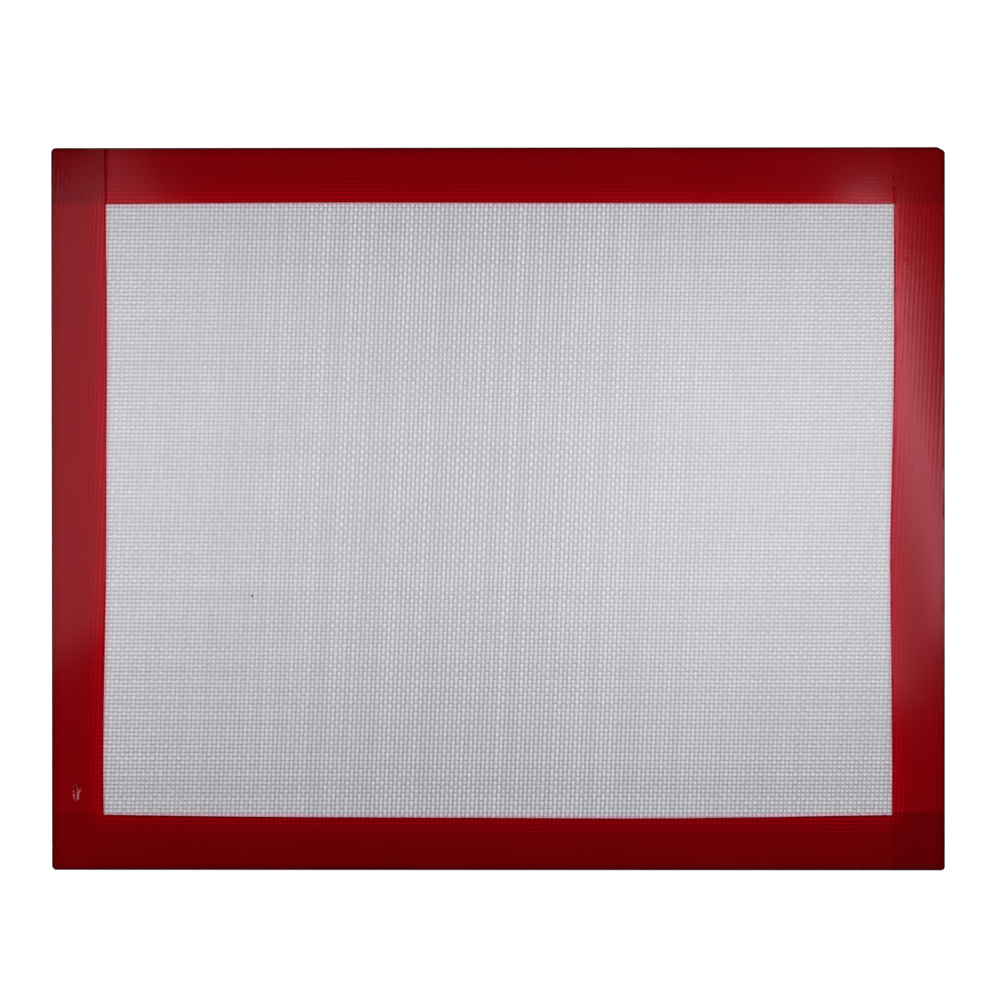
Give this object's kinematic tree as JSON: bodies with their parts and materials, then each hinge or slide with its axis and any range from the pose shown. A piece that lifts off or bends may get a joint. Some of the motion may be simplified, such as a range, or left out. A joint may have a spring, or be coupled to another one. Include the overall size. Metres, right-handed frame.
{
  "type": "silicone baking mat",
  "caption": "Thin rectangular baking mat of silicone-coated woven glass cloth with a wrapped coloured silicone border.",
  "frame": {"origin": "middle of the mat's back face, on the surface that it lies on", "axes": "+X along the long side, +Y along the short side, +Z out of the baking face"},
  "size_m": [0.4, 0.3236, 0.0009],
  "materials": {
    "glass_cloth": "white glass-fibre yarn in plain weave",
    "clear_silicone": "clear glossy silicone film",
    "red_silicone": "dark red glossy silicone with the weave showing through faintly"
  },
  "bodies": {
    "root": {"glass_cloth": "glass_cloth", "back_coat": "clear_silicone", "front_coat": "clear_silicone", "edging_bottom": "red_silicone", "edging_top": "red_silicone", "edging_left": "red_silicone", "edging_right": "red_silicone"}
  },
  "joints": []
}
